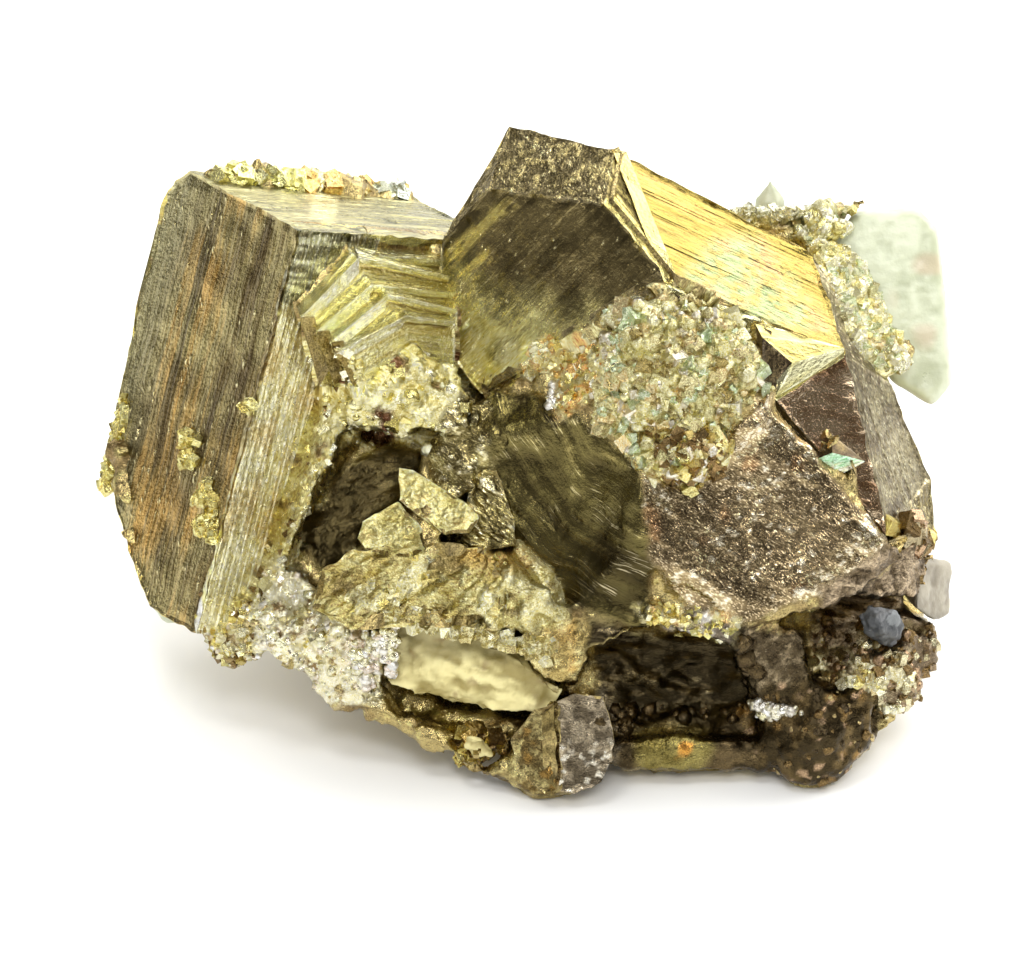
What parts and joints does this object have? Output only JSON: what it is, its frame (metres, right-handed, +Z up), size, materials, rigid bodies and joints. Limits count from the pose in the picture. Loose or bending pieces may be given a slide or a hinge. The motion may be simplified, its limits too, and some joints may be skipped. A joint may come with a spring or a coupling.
{
  "type": "mineral specimen",
  "caption": "Hand-sized pyrite specimen: striated brassy crystals grown from a broken core, set with pale quartz and a dark grain; stands on a sawn flat base.",
  "frame": {"origin": "middle of the bounding box, on the sawn flat underside", "axes": "+X across the show face to the right, +Y to the back, +Z up; the show face looks along -Y and up"},
  "size_m": [0.0774, 0.049, 0.051],
  "materials": {
    "pyrite": "natural crystal faces, mirror-bright to broken and grainy, metallic",
    "quartz": "milky, smooth, slightly see-through",
    "sphalerite": "dark blue-grey, glossy broken faces"
  },
  "bodies": {
    "root": {"pyrite_cluster": "pyrite", "quartz_block": "quartz", "quartz_vein": "quartz", "quartz_chip": "quartz", "quartz_crumb": "quartz", "quartz_point": "quartz", "quartz_nub": "quartz", "sphalerite_grain": "sphalerite"}
  },
  "joints": []
}
